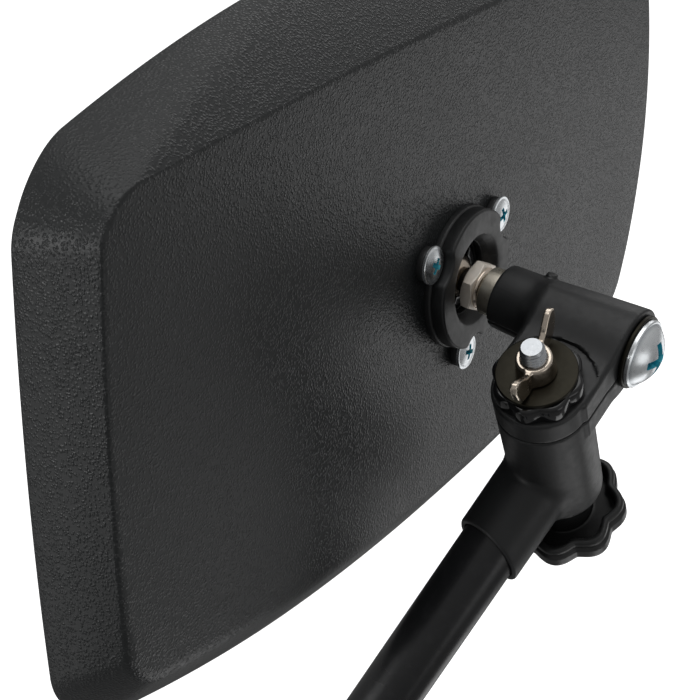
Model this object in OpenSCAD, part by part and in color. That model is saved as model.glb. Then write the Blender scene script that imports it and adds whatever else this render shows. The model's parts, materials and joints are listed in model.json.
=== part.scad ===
// Towing mirror on a clamped arm: a mirror head on a ball joint, a two-part
// knuckle that grips the ball stud, and a tube held by a screw clamp.
// Millimetres, +Z up. The back of the mirror head faces -Y, and the origin is
// the centre of the clamp's fixed pad, where it meets the vehicle.

/* [Mirror head] */
// Width of the head's back face between its side creases
back_w = 247; // [235:1:255]
// Height of the back face at its middle
back_h = 109; // [104:1:114]
// Height of the rim at its side corners
rim_h = 131; // [127:1:136]
// Bow of the rim's long edges
rim_bow = 18; // [14:1:20]
// Depth of the shell from back face to rim
shell_d = 21; // [20.5:0.5:23]
// Wall thickness of the shell
wall = 2.4; // [2:0.2:2.6]
// Corner radius of the outlines
corner_r = 15; // [12:1:17]
// Radius of the back face's corners
back_corner_r = 9; // [8:1:12]

/* [Ball joint] */
// Radius of the upper flange disc
flange_r = 18; // [17.5:0.5:19]
// Radius of the ball
ball_r = 6.5; // [6.5:0.1:6.6]
// Depth of the ball's centre behind the back face
ball_depth = 3.5; // [3.4:0.1:3.6]
// Heading of the arm, from straight right, seen from above
arm_heading = -94.5; // [-97:0.5:-92]
// Dip of the arm below level
arm_dip = 7.5; // [5:0.5:9]
// Roll of the knuckle about the arm
arm_roll = 31; // [28:1:33]

/* [Knuckle] */
// Ball centre to the near end of the arm
arm_start = 16.8; // [16.6:0.1:17.2]
// Ball centre to the far end face of the arm
arm_end = 54; // [53:0.5:55]
// Radius of the arm at its near end
arm_r = 8.2; // [8:0.1:8.6]
// Distance between the arm's axis and the clamp bolt's axis
bolt_offset = 22.7; // [22:0.1:23]
// Radius of the barrel around the clamp bolt
barrel_r = 11.4; // [11:0.1:11.6]
// Length of the barrel below the joint between the halves
barrel_l = 36.5; // [35:0.5:38]
// Diameter of the clamp bolt
bolt_d = 6; // [6:0.1:6.2]
// Number of lobes on the star knob
knob_lobes = 8; // [6:1:9]
// Radius of the star knob over its lobes
knob_r = 16.7; // [15.5:0.1:17]

/* [Tube] */
// Outside diameter of the tube
tube_d = 16; // [16:0.1:16.2]
// Length of the tube
tube_l = 190; // [185:1:200]
// Slope of the tube below the plane square to the clamp bolt
tube_slope = 28; // [26:1:30]
// Heading of the tube about the clamp bolt, from the arm's own direction
tube_turn = -103; // [-105:1:-101]

/* [Vehicle clamp] */
// Width of the jaw opening between the rubber pads
jaw_gap = 26; // [22:1:28]
// Width of the clamp frame
frame_w = 18; // [16:1:20]
// Distance along the tube from the knuckle to the clamp's boss
boss_at = 166; // [162:1:168]

/* [Hidden] */
$fn = 64;
eps = 0.01;
edge = 0.1;
big = 400;

// Outlines of the head, as [left half height, right half height,
// sagittas of the right, top, left and bottom edges, centre, half width,
// corner radius]
taper = 0.07;
back_line = [back_h / 2 * (1 - taper), back_h / 2 * (1 + taper),
             [13.8, 2.8, 2.2, 13.1], [-10.5, 8.4], back_w / 2,
             back_corner_r];
rim_line = [rim_h / 2 * (1 - taper), rim_h / 2 * (1 + taper),
            [13.8, rim_bow, 2.2, rim_bow], [-10.5, 0], back_w / 2 + 0.6,
            corner_r];

// Flange
screw_ring_r = 20.9;
screw_turn = 33;
base_t = 1.8;
ring_top = 5.2;
seat_r = 9.05;
skirt_r = 12;
plate_t = 2;
cup_bottom = 14;

// Knuckle, measured from the ball's centre with x along the arm
bolt_x = arm_end - 12.4;
arm_end_r = 10.4;
seam = 0.2;
shank_r = 6;
bore_gap = 0.05;
barrel_top = 7.2;
spacer_top = 12.2;
washer_top = 13.4;
bolt_top = 23.1;
hex_start = 7.8;
hex_l = 3.3;
hex_af = 12;
tube_joint_z = -24.4;
socket_r = 9.6;
mouth_at = 25.6;
knob_top = -45;
knob_t = 8;
tube_start = 11.5;
// The tube's end stands off the bottom of its bore, clear of the knob's boss
tube_top = tube_start + 2.5;

// Turning a vector about each axis by an angle in degrees
function about_x(v, a) =
    [v.x, v.y * cos(a) - v.z * sin(a), v.y * sin(a) + v.z * cos(a)];
function about_y(v, a) =
    [v.x * cos(a) + v.z * sin(a), v.y, v.z * cos(a) - v.x * sin(a)];
function about_z(v, a) =
    [v.x * cos(a) - v.y * sin(a), v.x * sin(a) + v.y * cos(a), v.z];
function from_knuckle(v) =
    about_z(about_y(about_x(v, arm_roll), arm_dip), arm_heading);

// The tube's direction and the point where its axis meets the clamp bolt's
ball_pos = [0, ball_depth, 0];
tube_tilt = 90 + tube_slope;
tube_dir = from_knuckle(
    about_z(about_y([0, 0, 1], tube_tilt), tube_turn));
tube_joint = ball_pos
    + from_knuckle([bolt_x, -bolt_offset, tube_joint_z]);

// Vehicle clamp
boss_pos = tube_joint + tube_dir * boss_at;
boss_r = 14;
boss_l = 24;
bush_r = 10;
pad_t = 3;
pad_w = 15;
pad_h = 22;
jaw_t = 5;
leg_t = 9;
bridge_t = 11;
jaw_drop = 46;
spindle_r = 4;
spindle_l = 51;
frame_x = boss_pos.x + 28;
fixed_y = boss_pos.y + jaw_gap / 2;
jaw_z = boss_pos.z - jaw_drop;
origin = [frame_x, fixed_y, jaw_z];
// The leg that carries the spindle stands behind the open jaw
nut_y = fixed_y - jaw_gap - pad_t - jaw_t - 4;

// Placing --------------------------------------------------------------

module in_part() {
    translate(-origin) children();
}

// x right and y up in the back face, z out of it
module in_head() {
    in_part() rotate([90, 0, 0]) children();
}

// Origin in the ball's centre, x along the arm, z along the clamp bolt
module in_knuckle() {
    in_part() translate(ball_pos)
        rotate([arm_roll, arm_dip, arm_heading]) children();
}

module on_bolt() {
    in_knuckle() translate([bolt_x, -bolt_offset, 0]) children();
}

// Origin where the tube's axis meets the bolt's, z down the tube
module along_tube() {
    on_bolt() translate([0, 0, tube_joint_z])
        rotate([0, tube_tilt, tube_turn]) children();
}

module bar_x(x, l, r1, r2) {
    translate([x, 0, 0]) rotate([0, 90, 0])
        cylinder(h = l, r1 = r1, r2 = r2);
}

module bar_y(y, l, r) {
    translate([0, y, 0]) rotate([-90, 0, 0]) cylinder(h = l, r = r);
}

module ring(r_out, r_in, h) {
    difference() {
        cylinder(h = h, r = r_out);
        translate([0, 0, -1]) cylinder(h = h + 2, r = r_in);
    }
}

// A round head whose rim stands rim high and whose crown reaches h
module domed_head(r, rim, h) {
    crown = (r * r + (h - rim) * (h - rim)) / 2 / (h - rim);
    rotate_extrude() intersection() {
        square([r, h]);
        translate([0, h - crown]) circle(r = crown, $fn = 180);
    }
}

module hexagon(af, h) {
    cylinder(h = h, r = af / 2 / cos(30), $fn = 6);
}

module at_screws() {
    for (i = [0:2])
        rotate([0, 0, screw_turn + 120 * i])
            translate([screw_ring_r, 0, 0]) children();
}

module cross_recess(size, depth) {
    for (a = [0, 90])
        rotate([0, 0, a]) translate([-size / 2, -size / 9, -depth])
            cube([size, size / 4.5, depth + 5]);
}

// A round plate with n round lobes, whose tips reach r
module lobed(r, lobe_r, n) {
    circle(r = r - lobe_r * 0.38);
    for (i = [0:n - 1])
        rotate(360 / n * i) translate([r - lobe_r, 0]) circle(r = lobe_r);
}

// Mirror head -----------------------------------------------------------

// Centre of the arc through p and q that bows out by s to their right
function bow_r(p, q, s) = (norm(q - p) * norm(q - p) / 4 + s * s) / 2 / s;
function bow_c(p, q, s) = (p + q) / 2
    + [q.y - p.y, p.x - q.x] / norm(q - p) * (s - bow_r(p, q, s));

module bowed(o, inset) {
    half = o[4];
    pts = [[half, -o[1]], [half, o[1]], [-half, o[0]], [-half, -o[0]]];
    translate(o[3]) offset(r = o[5]) offset(delta = -o[5] - inset)
        intersection_for(i = [0:3]) union() {
            p = pts[i];
            q = pts[(i + 1) % 4];
            translate(bow_c(p, q, o[2][i]))
                circle(r = bow_r(p, q, o[2][i]), $fn = 360);
            // The arc only bows out one side, so all behind its chord is kept
            translate(p) rotate(atan2(q.y - p.y, q.x - p.x))
                translate([-big, 0]) square([2 * big, big]);
        }
}

// The outline at a depth below the back face
function line_at(d) = let (t = d / shell_d)
    [for (i = [0:5]) back_line[i] * (1 - t) + rim_line[i] * t];

module slab(o, inset, z, t) {
    translate([0, 0, z]) linear_extrude(t) bowed(o, inset);
}

module shell() {
    color("#17181a") in_head() difference() {
        hull() {
            slab(back_line, 1.2, -edge, edge);
            slab(back_line, 0, -1.2, edge);
            slab(rim_line, 0, -shell_d, edge);
        }
        hull() {
            slab(back_line, wall, -wall - edge, edge);
            slab(rim_line, wall, -shell_d - 1, 1.1);
        }
        translate([0, 0, -wall - 1])
            cylinder(h = wall + 2, r = skirt_r + 0.1);
        at_screws() translate([0, 0, -wall - 1])
            cylinder(h = wall + 2, r = 2.6);
    }
}

module bezel() {
    lip = 6.5;
    front = shell_d - 0.3;
    back = shell_d - 3;
    color("#202123") in_head() difference() {
        hull() {
            slab(line_at(back), wall + 0.6, -back - edge, edge);
            slab(line_at(front), wall + 0.6, -front, edge);
        }
        slab(line_at(back), wall + lip, -front - 1, 5);
    }
}

module glass() {
    color("#c9d3da") in_head()
        slab(line_at(shell_d - 5), wall + 1.2, -shell_d + 3.1, 2);
}

module glass_pad() {
    color("#3b3b3b") in_head()
        slab(line_at(shell_d - 7), wall + 6, -shell_d + 5.1, 1);
}

module glass_carrier() {
    color("#2a2b2d") in_head() difference() {
        slab(line_at(shell_d - 8.5), wall + 2, -shell_d + 6.1, 1.8);
        translate([0, 0, -shell_d]) cylinder(h = shell_d, r = skirt_r + 2);
    }
}

module backing_plate() {
    color("#9fa3a6") in_head() difference() {
        translate([0, 0, -wall - plate_t]) ring(29, skirt_r + 0.2, plate_t);
        at_screws() translate([0, 0, -wall - plate_t - 1])
            cylinder(h = plate_t + 2, r = 2.6);
    }
}

// Ball socket -----------------------------------------------------------

module socket_base() {
    color("#1b1c1e") in_head() difference() {
        union() {
            cylinder(h = base_t, r = flange_r + 1);
            at_screws() cylinder(h = base_t, r = 5.7);
            translate([0, 0, -9]) cylinder(h = 9, r = skirt_r);
        }
        translate([0, 0, -ball_depth]) sphere(r = seat_r);
        translate([0, 0, -10])
            cylinder(h = 10 - ball_depth, r = seat_r);
        translate([0, 0, 0.3])
            cylinder(h = base_t, r1 = 8.2, r2 = 9.3);
        at_screws() translate([0, 0, -1]) cylinder(h = 4, r = 2.6);
    }
}

module retainer_ring() {
    color("#1d1e20") in_head() difference() {
        translate([0, 0, base_t])
            cylinder(h = ring_top - base_t, r = flange_r);
        translate([0, 0, base_t - eps])
            cylinder(h = ring_top - base_t + 1, r1 = 9.3, r2 = 11.6);
        at_screws() translate([0, 0, base_t - 1]) cylinder(h = 9, r = 5.4);
    }
}

module socket_cup() {
    color("#232426") in_head() difference() {
        translate([0, 0, -cup_bottom])
            cylinder(h = cup_bottom - 9, r = skirt_r);
        translate([0, 0, -ball_depth]) sphere(r = seat_r);
    }
}

module flange_screws() {
    color("#c3c7c9") in_head() at_screws() difference() {
        union() {
            translate([0, 0, base_t]) domed_head(4.8, 0.9, 2.6);
            translate([0, 0, -11]) cylinder(h = 11.5 + base_t, r = 2.45);
        }
        translate([0, 0, base_t + 2.6]) cross_recess(4.6, 1.5);
    }
}

module flange_nuts() {
    color("#b4b8ba") in_head() at_screws()
        translate([0, 0, -wall - plate_t - 4]) difference() {
            hexagon(8, 4);
            translate([0, 0, -1]) cylinder(h = 6, r = 2.5);
        }
}

module socket_liner() {
    fingers = 6;
    color("#2b2b2d") in_head() translate([0, 0, -ball_depth]) difference() {
        sphere(r = seat_r - bore_gap);
        sphere(r = ball_r + bore_gap);
        translate([0, 0, 4.2]) cylinder(h = 10, r = 12);
        translate([0, 0, -16]) cylinder(h = 10, r = 12);
        for (i = [0:fingers - 1])
            rotate([0, 0, 360 / fingers * i]) translate([3, -0.7, -0.5])
                cube([8, 1.4, 8]);
    }
}

// Stud and what turns with it ---------------------------------------------

module ball_stud() {
    shank_end = arm_end - 6.5;
    color("#c9c0ae") in_knuckle() difference() {
        union() {
            sphere(r = ball_r);
            bar_x(0, hex_start + 1, 3.4, 3.4);
            translate([hex_start, 0, 0]) rotate([0, 90, 0])
                hexagon(hex_af, hex_l);
            bar_x(hex_start + hex_l, 0.8, 5.2, 4.4);
            bar_x(hex_start, arm_start - hex_start + 1, 4.2, 4.2);
            bar_x(arm_start + 0.3, shank_end - arm_start - 0.3,
                  shank_r, shank_r);
        }
        bar_x(shank_end - 18, 20, 4, 4);
    }
}

module spacer_ring() {
    color("#b9b2a2") in_knuckle() difference() {
        bar_x(hex_start + hex_l + 1.3, arm_start - hex_start - hex_l - 1.5,
              6.2, 6.2);
        bar_x(0, arm_end, 4.25, 4.25);
    }
}

module end_screw() {
    head_x = arm_end + 1.1;
    color("#d2d5d6") in_knuckle() difference() {
        union() {
            translate([head_x, 0, 0]) rotate([0, 90, 0])
                domed_head(8.5, 1.2, 5.4);
            bar_x(head_x - 22, 22.5, 3.95, 3.95);
        }
        translate([head_x + 4.6, 0, 0]) rotate([0, 90, 0])
            rotate([0, 0, 20]) cross_recess(8, 2.6);
    }
}

module end_washer() {
    color("#141414") in_knuckle() difference() {
        bar_x(arm_end + 0.1, 1, 9.2, 9.2);
        bar_x(arm_end - 1, 4, 4.1, 4.1);
    }
}

// Knuckle ---------------------------------------------------------------

// The arm's outside, whole, before it is split between the halves
module arm_outside() {
    bar_x(arm_start, arm_end - arm_start - 12, arm_r, 9.7);
    bar_x(arm_end - 12, 12, 9.7, arm_end_r);
}

// The web between the arm and the barrel, over a height either way
module web(h) {
    side = barrel_r - 0.6;
    translate([0, 0, -h]) linear_extrude(2 * h)
        polygon([[arm_end - 25, 0], [bolt_x - side, -bolt_offset],
                 [bolt_x + side, -bolt_offset], [arm_end - 1, 0]]);
}

module knuckle_bores() {
    bar_x(arm_start - 1, arm_end - arm_start - 5, shank_r + bore_gap,
          shank_r + bore_gap);
    bar_x(arm_end - 10, 12, 4.3, 4.3);
    translate([bolt_x, -bolt_offset, -60])
        cylinder(h = 120, r = bolt_d / 2 + 0.2);
}

module upper_body() {
    color("#1a1b1d") in_knuckle() difference() {
        intersection() {
            union() {
                arm_outside();
                web(barrel_top - 1);
                translate([bolt_x, -bolt_offset, 0])
                    cylinder(h = barrel_top, r = barrel_r);
            }
            translate([-big / 2, -big / 2, seam]) cube([big, big, 20]);
        }
        translate([bolt_x, -bolt_offset, barrel_top])
            cylinder(h = 20, r = barrel_r + 1);
        knuckle_bores();
    }
}

module lower_body() {
    floor_z = 7.3;
    color("#1a1b1d") difference() {
        union() {
            in_knuckle() intersection() {
                union() {
                    arm_outside();
                    web(floor_z - 0.5);
                }
                translate([-big / 2, -big / 2, -floor_z])
                    cube([big, big, floor_z - seam]);
            }
            on_bolt() translate([0, 0, -barrel_l])
                cylinder(h = barrel_l - seam, r = barrel_r);
            along_tube() rotate([0, 0, 35]) cylinder(h = 50, r = socket_r);
        }
        on_bolt() rotate([0, 0, tube_turn])
            translate([mouth_at, -20, -90]) cube([60, 40, 90]);
        on_bolt() translate([0, 0, -barrel_l - 30])
            cylinder(h = 30, r = 9);
        in_knuckle() knuckle_bores();
        along_tube() rotate([0, 0, 50]) translate([0, 0, tube_start])
            cylinder(h = 60, r = tube_d / 2 + bore_gap);
    }
}

module lobed_spacer() {
    color("#0c0c0d") on_bolt() translate([0, 0, barrel_top])
        difference() {
            linear_extrude(spacer_top - barrel_top) lobed(9.6, 2.6, 8);
            translate([0, 0, -1]) cylinder(h = 9, r = bolt_d / 2 + 0.2);
        }
}

module flat_washer() {
    color("#2e2c28") on_bolt() translate([0, 0, spacer_top])
        ring(9.5, bolt_d / 2 + 0.2, washer_top - spacer_top);
}

module wing_nut() {
    turn = 100;
    color("#cdbf9f") on_bolt() translate([0, 0, washer_top + 0.1])
        difference() {
            union() {
                cylinder(h = 5.6, r1 = 4.9, r2 = 4.3);
                for (a = [0, 180])
                    rotate([0, 0, turn + a]) translate([0, 1, 0])
                        rotate([90, 0, 0]) linear_extrude(2)
                            polygon([[3, 0.5], [6.2, 0.9], [11.6, 4.4],
                                     [12.7, 7.4], [11.3, 9.5], [8.6, 8.4],
                                     [6.2, 5.4], [3, 4.6]]);
            }
            translate([0, 0, -1]) cylinder(h = 9, r = bolt_d / 2 + 0.08);
        }
}

module clamp_bolt() {
    color("#c8cccd") on_bolt() {
        translate([0, 0, knob_top - knob_t + 2])
            cylinder(h = bolt_top - knob_top + knob_t - 2.7, r = bolt_d / 2);
        translate([0, 0, bolt_top - 0.7])
            cylinder(h = 0.7, r1 = bolt_d / 2, r2 = bolt_d / 2 - 0.6);
    }
}

module star_knob() {
    color("#161719") on_bolt() difference() {
        union() {
            translate([0, 0, knob_top - knob_t])
                linear_extrude(knob_t) lobed(knob_r, 4.2, knob_lobes);
            translate([0, 0, knob_top - 3])
                cylinder(h = -barrel_l - knob_top + 2.8, r = 7.5);
        }
        difference() {
            translate([0, 0, knob_top - 2.5]) cylinder(h = 4, r = 13);
            translate([0, 0, knob_top - 3]) cylinder(h = 5, r = 7.5);
        }
        translate([0, 0, knob_top - knob_t + 2])
            cylinder(h = 30, r = bolt_d / 2);
    }
}

// Tube ------------------------------------------------------------------

module tube() {
    color("#101112") along_tube() translate([0, 0, tube_top])
        ring(tube_d / 2, tube_d / 2 - 1.4, tube_l - tube_top + tube_start);
}

module tube_plug() {
    color("#202022") along_tube() translate([0, 0, tube_start + tube_l]) {
        cylinder(h = 2.5, r = tube_d / 2);
        translate([0, 0, -12]) cylinder(h = 12, r = tube_d / 2 - 1.45);
    }
}

// Vehicle clamp -----------------------------------------------------------

// Origin in the middle of the boss, z down the tube, x level
module in_boss() {
    along_tube() translate([0, 0, boss_at]) children();
}

module jaw_block(y, t) {
    translate([frame_x - frame_w / 2, y, jaw_z - pad_h / 2 - 2])
        cube([frame_w, t, pad_h + 4 + bridge_t + 4]);
}

module clamp_frame() {
    leg_y = fixed_y + pad_t;
    top_z = jaw_z + pad_h / 2 + 6;
    color("#1c1d1f") difference() {
        union() {
            in_part() {
                jaw_block(leg_y, leg_t);
                jaw_block(nut_y - leg_t, leg_t);
                translate([frame_x - frame_w / 2, nut_y - leg_t, top_z])
                    cube([frame_w, leg_y - nut_y + 2 * leg_t, bridge_t]);
                translate([frame_x, boss_pos.y, top_z + bridge_t - 2]) {
                    cylinder(h = boss_pos.z - top_z - bridge_t + 2, r = 6.5);
                    cylinder(h = 5, r = 8.5);
                }
                translate(boss_pos) rotate([0, 90, 0])
                    cylinder(h = frame_x - boss_pos.x, r = 6.5);
                translate([frame_x, boss_pos.y, boss_pos.z])
                    sphere(r = 6.5);
            }
            in_boss() translate([0, 0, -boss_l / 2])
                cylinder(h = boss_l, r = boss_r);
            in_boss() rotate([-90, 0, 0])
                cylinder(h = boss_r + 3, r = 6);
        }
        in_boss() translate([0, 0, -boss_l])
            cylinder(h = 2 * boss_l, r = bush_r + bore_gap);
        // Room for the bush's collar beside the bar
        in_boss() translate([0, 0, -boss_l / 2 - 3])
            cylinder(h = 3, r = bush_r + 2.4);
        in_boss() rotate([-90, 0, 0]) cylinder(h = 30, r = 3.05);
        in_part() translate([frame_x, 0, jaw_z])
            bar_y(nut_y - leg_t - 5, leg_t + 10, spindle_r + 0.06);
    }
}

module tube_bush() {
    color("#d8d6cf") in_boss() difference() {
        union() {
            translate([0, 0, -boss_l / 2 - 1])
                ring(bush_r, tube_d / 2 + bore_gap, boss_l + 1);
            translate([0, 0, -boss_l / 2 - 2.2])
                ring(bush_r + 2, tube_d / 2 + bore_gap, 2);
        }
        translate([5, -0.8, -boss_l]) cube([12, 1.6, 2 * boss_l]);
    }
}

module lock_screw() {
    color("#c4c8ca") in_boss() rotate([-90, 0, 0]) {
        translate([0, 0, bush_r + 0.3]) cylinder(h = 14, r = 3);
        translate([0, 0, bush_r + 11]) difference() {
            cylinder(h = 7, r = 8);
            for (i = [0:11])
                rotate([0, 0, 30 * i]) translate([8.5, 0, -1])
                    cylinder(h = 9, r = 1.1);
        }
    }
}

module fixed_pad() {
    color("#191919") in_part()
        translate([frame_x - pad_w / 2, fixed_y, jaw_z - pad_h / 2])
            cube([pad_w, pad_t, pad_h]);
}

module moving_jaw() {
    y = fixed_y - jaw_gap - pad_t - jaw_t;
    color("#2a2b2d") in_part() difference() {
        translate([frame_x - pad_w / 2 - 1, y, jaw_z - pad_h / 2])
            cube([pad_w + 2, jaw_t, pad_h]);
        translate([frame_x, 0, jaw_z]) bar_y(y - 1, 4, spindle_r + 0.06);
    }
}

module moving_pad() {
    color("#191919") in_part()
        translate([frame_x - pad_w / 2, fixed_y - jaw_gap - pad_t,
                   jaw_z - pad_h / 2])
            cube([pad_w, pad_t, pad_h]);
}

module clamp_screw() {
    tip_y = fixed_y - jaw_gap - pad_t - jaw_t + 2.8;
    color("#bfc3c5") in_part() translate([frame_x, 0, jaw_z])
        bar_y(tip_y - spindle_l, spindle_l, spindle_r);
}

module spindle_knob() {
    tip_y = fixed_y - jaw_gap - pad_t - jaw_t + 2.8;
    color("#161719") in_part() translate([frame_x, 0, jaw_z])
        translate([0, tip_y - spindle_l - 4, 0]) rotate([-90, 0, 0])
            difference() {
                linear_extrude(12) lobed(15, 4, 7);
                translate([0, 0, 4]) cylinder(h = 10, r = spindle_r);
            }
}

shell();
bezel();
glass();
glass_pad();
glass_carrier();
backing_plate();
socket_base();
retainer_ring();
socket_cup();
flange_screws();
flange_nuts();
socket_liner();
ball_stud();
spacer_ring();
end_screw();
end_washer();
upper_body();
lower_body();
lobed_spacer();
flat_washer();
wing_nut();
clamp_bolt();
star_knob();
tube();
tube_plug();
clamp_frame();
tube_bush();
lock_screw();
fixed_pad();
moving_jaw();
moving_pad();
clamp_screw();
spindle_knob();
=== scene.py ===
"""Towing mirror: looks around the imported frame. Sizes in the builders are millimetres in local frames."""
import json
import math

import bpy
import bmesh
import numpy as np
from mathutils import Matrix, Vector


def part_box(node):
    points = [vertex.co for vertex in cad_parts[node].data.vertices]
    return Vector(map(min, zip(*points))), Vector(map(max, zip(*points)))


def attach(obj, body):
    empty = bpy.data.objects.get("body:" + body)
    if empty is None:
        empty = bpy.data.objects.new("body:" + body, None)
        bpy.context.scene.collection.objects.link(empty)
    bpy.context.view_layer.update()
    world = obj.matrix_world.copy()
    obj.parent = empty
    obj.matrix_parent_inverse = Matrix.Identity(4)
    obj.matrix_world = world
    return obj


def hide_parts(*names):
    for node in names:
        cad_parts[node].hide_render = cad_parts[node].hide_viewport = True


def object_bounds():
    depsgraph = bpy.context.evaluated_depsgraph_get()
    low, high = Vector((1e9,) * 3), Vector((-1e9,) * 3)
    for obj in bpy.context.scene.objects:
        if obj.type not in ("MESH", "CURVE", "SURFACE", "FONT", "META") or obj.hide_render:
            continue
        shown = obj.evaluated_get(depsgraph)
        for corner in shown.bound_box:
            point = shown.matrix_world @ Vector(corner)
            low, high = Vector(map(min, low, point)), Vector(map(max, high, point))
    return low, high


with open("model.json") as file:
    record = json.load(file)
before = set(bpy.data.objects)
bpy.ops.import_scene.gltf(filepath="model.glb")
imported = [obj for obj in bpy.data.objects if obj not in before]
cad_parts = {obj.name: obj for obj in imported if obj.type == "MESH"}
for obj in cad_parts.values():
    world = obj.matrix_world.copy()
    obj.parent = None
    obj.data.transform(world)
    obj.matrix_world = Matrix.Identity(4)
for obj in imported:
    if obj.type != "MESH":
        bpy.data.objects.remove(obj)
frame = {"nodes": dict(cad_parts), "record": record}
CAD_LOW, CAD_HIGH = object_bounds()
JOINTS = {j["name"]: j for j in frame["record"]["behaviour"]["joints"]}
TAU = 2 * math.pi


# ---------------------------------------------------------------- frames
def unit(v):
    v = np.array(v, float)
    return v / np.linalg.norm(v)


def frame_of(origin, x, z):
    """4x4 from millimetres in a local frame to metres in the row frame."""
    z = unit(z)
    x = np.array(x, float)
    x = unit(x - z * (x @ z))
    m = np.eye(4)
    m[:3, 0], m[:3, 1], m[:3, 2] = x * 1e-3, np.cross(z, x) * 1e-3, z * 1e-3
    m[:3, 3] = origin
    return m


BALL = np.array(JOINTS["stud_turn"]["pos_m"], float)
ARM = unit(JOINTS["stud_turn"]["axis"])
BOLT = np.array(JOINTS["knob_turn"]["pos_m"], float)
UP = unit(JOINTS["knob_turn"]["axis"])
BOSS = np.array(JOINTS["tube_turn"]["pos_m"], float)
DOWN = unit(JOINTS["tube_turn"]["axis"])
back_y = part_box("shell")[0].y
FLANGE = np.array([BALL[0], back_y, BALL[2]])
# where the tube's axis meets the clamp bolt's
_a = np.array([[UP @ UP, -UP @ DOWN], [UP @ DOWN, -DOWN @ DOWN]])
_b = np.array([(BOSS - BOLT) @ UP, (BOSS - BOLT) @ DOWN])
ELBOW = BOLT + UP * np.linalg.solve(_a, _b)[0]

HEAD = frame_of(FLANGE, (1, 0, 0), (0, -1, 0))
KNUCKLE = frame_of(BALL, ARM, UP)
ON_BOLT = frame_of(BOLT, ARM, UP)
TUBE = frame_of(ELBOW, -UP, DOWN)
IN_BOSS = frame_of(BOSS, -UP, DOWN)
ROW = np.diag([1e-3, 1e-3, 1e-3, 1.0])
# directions and points of the other frames, in the knuckle's millimetres
to_knuckle = np.linalg.inv(KNUCKLE)
BOLT_K = (to_knuckle @ np.append(BOLT, 1))[:3]
ELBOW_K = (to_knuckle @ np.append(ELBOW, 1))[:3]
DOWN_K = unit(to_knuckle[:3, :3] @ DOWN)


# ---------------------------------------------------------------- meshes
def put(name, verts, faces, matrix, smooth=True, angle=40):
    v = np.asarray(verts, float)
    v = v @ matrix[:3, :3].T + matrix[:3, 3]
    me = bpy.data.meshes.new(name)
    me.from_pydata(v.tolist(), [], [list(map(int, f)) for f in faces])
    me.update()
    ob = bpy.data.objects.new(name, me)
    bpy.context.scene.collection.objects.link(ob)
    bm = bmesh.new()
    bm.from_mesh(me)
    bmesh.ops.remove_doubles(bm, verts=bm.verts, dist=1e-7)
    bmesh.ops.recalc_face_normals(bm, faces=bm.faces)
    bm.to_mesh(me)
    bm.free()
    if smooth:
        me.polygons.foreach_set("use_smooth", [True] * len(me.polygons))
        me.set_sharp_from_angle(angle=math.radians(angle))
    return ob


def strips(rings, wrap=False, cap_first=False, cap_last=False):
    """Faces between successive closed rings of n points each."""
    rings = [np.asarray(r, float) for r in rings]
    n = len(rings[0])
    verts = np.vstack(rings)
    faces = []
    count = len(rings)
    idx = np.arange(n)
    nxt = (idx + 1) % n
    for k in range(count if wrap else count - 1):
        a, b = k * n, ((k + 1) % count) * n
        faces += np.stack([a + idx, a + nxt, b + nxt, b + idx], 1).tolist()
    if cap_first:
        c = len(verts)
        verts = np.vstack([verts, rings[0].mean(0)])
        faces += [[int(j), int(i), c] for i, j in zip(idx, nxt)]
    if cap_last:
        c = len(verts)
        o = (count - 1) * n
        verts = np.vstack([verts, rings[-1].mean(0)])
        faces += [[int(o + i), int(o + j), c] for i, j in zip(idx, nxt)]
    return verts, faces


def joined(*parts):
    vs, fs, base = [], [], 0
    for v, f in parts:
        vs.append(np.asarray(v, float))
        fs += [[i + base for i in q] for q in f]
        base += len(v)
    return np.vstack(vs), fs


def moved(part, matrix):
    v, f = part
    m = np.array(matrix, float)
    return np.asarray(v) @ m[:3, :3].T + m[:3, 3], f


def turned(axis, deg, shift=(0, 0, 0)):
    m = np.eye(4)
    m[:3, :3] = np.array(Matrix.Rotation(math.radians(deg), 3, axis))
    m[:3, 3] = shift
    return m


def rounded(profile, r, steps=5):
    """A closed or open 2-D polyline with its inner corners rounded to radius r (a number or one per corner)."""
    pts = [np.array(p, float) for p in profile]
    rs = [r] * len(pts) if np.isscalar(r) else list(r)
    out = [pts[0]]
    for i in range(1, len(pts) - 1):
        p, a, b = pts[i], pts[i - 1], pts[i + 1]
        u, v = a - p, b - p
        lu, lv = np.linalg.norm(u), np.linalg.norm(v)
        if rs[i] <= 0 or lu < 1e-9 or lv < 1e-9:
            out.append(p)
            continue
        u, v = u / lu, v / lv
        half = math.acos(max(-1, min(1, float(u @ v)))) / 2
        if half > math.pi / 2 - 0.02:
            out.append(p)
            continue
        d = min(rs[i] / math.tan(half), 0.49 * lu, 0.49 * lv)
        for t in np.linspace(0, 1, steps + 1):
            q = (1 - t) ** 2 * (p + u * d) + 2 * t * (1 - t) * p + t * t * (p + v * d)
            out.append(q)
    out.append(pts[-1])
    return np.array(out)


def lathe(profile, n=96):
    """profile: (r, z) points; a first or last point on the axis closes the end."""
    prof = np.asarray(profile, float)
    a = np.arange(n) / n * TAU
    first, last = prof[0][0] < 1e-6, prof[-1][0] < 1e-6
    body = prof[(1 if first else 0):(len(prof) - 1 if last else len(prof))]
    rings = [np.stack([r * np.cos(a), r * np.sin(a), np.full(n, z)], 1) for r, z in body]
    v, f = strips(rings, wrap=not (first or last))
    if first:
        c = len(v)
        v = np.vstack([v, [[0, 0, prof[0][1]]]])
        f += [[(i + 1) % n, i, c] for i in range(n)]
    if last:
        c = len(v)
        o = (len(body) - 1) * n
        v = np.vstack([v, [[0, 0, prof[-1][1]]]])
        f += [[o + i, o + (i + 1) % n, c] for i in range(n)]
    return v, f


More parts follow.
